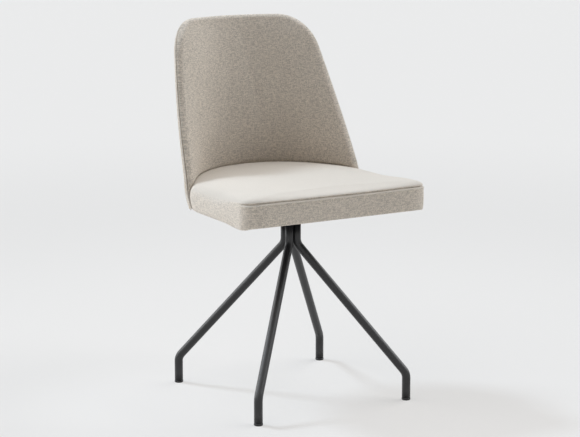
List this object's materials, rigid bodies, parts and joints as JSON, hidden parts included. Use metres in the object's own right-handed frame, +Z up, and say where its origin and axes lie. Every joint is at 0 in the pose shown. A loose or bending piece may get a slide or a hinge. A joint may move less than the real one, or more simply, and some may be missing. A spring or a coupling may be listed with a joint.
{
  "type": "swivel dining chair",
  "caption": "Upholstered dining chair: a cushioned seat and a padded wrap-round back that swivel on a base of four bent steel tubes.",
  "frame": {"origin": "on the floor, on the vertical swivel axis, in the middle of the four feet", "axes": "+Z up along the swivel axis, -Y towards the front edge of the seat, +X towards the sitter's left"},
  "size_m": [0.4384, 0.4825, 0.789],
  "materials": {
    "black_steel": "satin powder coat",
    "zinc_steel": "bright zinc",
    "turned_steel": "turned and oiled",
    "glide_plastic": "moulded, matte",
    "bush_plastic": "turned acetal",
    "plywood": "raw birch plywood",
    "foam": "open-cell foam",
    "woven_fabric": "melange weave",
    "dust_cloth": "non-woven cloth"
  },
  "bodies": {
    "base": {"leg_front_right": "black_steel", "leg_rear_right": "black_steel", "leg_rear_left": "black_steel", "leg_front_left": "black_steel", "glide_front_right": "glide_plastic", "glide_rear_right": "glide_plastic", "glide_rear_left": "glide_plastic", "glide_front_left": "glide_plastic", "base_top_plate": "black_steel", "swivel_spindle": "turned_steel", "retaining_washer": "zinc_steel", "spindle_nut": "zinc_steel"},
    "seat": {"thrust_washer": "bush_plastic", "lower_bush": "bush_plastic", "upper_bush": "bush_plastic", "bearing_housing": "black_steel", "seat_mount_plate": "black_steel", "mount_bolt_front_right": "zinc_steel", "mount_bolt_rear_right": "zinc_steel", "mount_bolt_rear_left": "zinc_steel", "mount_bolt_front_left": "zinc_steel", "tee_nut_front_right": "zinc_steel", "tee_nut_rear_right": "zinc_steel", "tee_nut_rear_left": "zinc_steel", "tee_nut_front_left": "zinc_steel", "seat_board": "plywood", "seat_foam": "foam", "seat_cover": "woven_fabric", "seat_dust_cloth": "dust_cloth", "back_shell": "plywood", "back_pad": "foam", "back_inner_cover": "woven_fabric", "back_outer_cover": "woven_fabric", "back_bracket_rear": "black_steel", "back_bracket_right": "black_steel", "back_bracket_left": "black_steel", "board_screw_rear_1": "zinc_steel", "board_screw_rear_2": "zinc_steel", "board_screw_right_1": "zinc_steel", "board_screw_right_2": "zinc_steel", "board_screw_left_1": "zinc_steel", "board_screw_left_2": "zinc_steel", "shell_screw_rear_1": "zinc_steel", "shell_screw_rear_2": "zinc_steel", "shell_screw_right_1": "zinc_steel", "shell_screw_right_2": "zinc_steel", "shell_screw_left_1": "zinc_steel", "shell_screw_left_2": "zinc_steel"}
  },
  "joints": [
    {"name": "seat_swivel", "type": "hinge", "parent": "base", "child": "seat", "pos_m": [0, 0, 0.384], "axis": [0, 0, 1], "continuous": true}
  ]
}
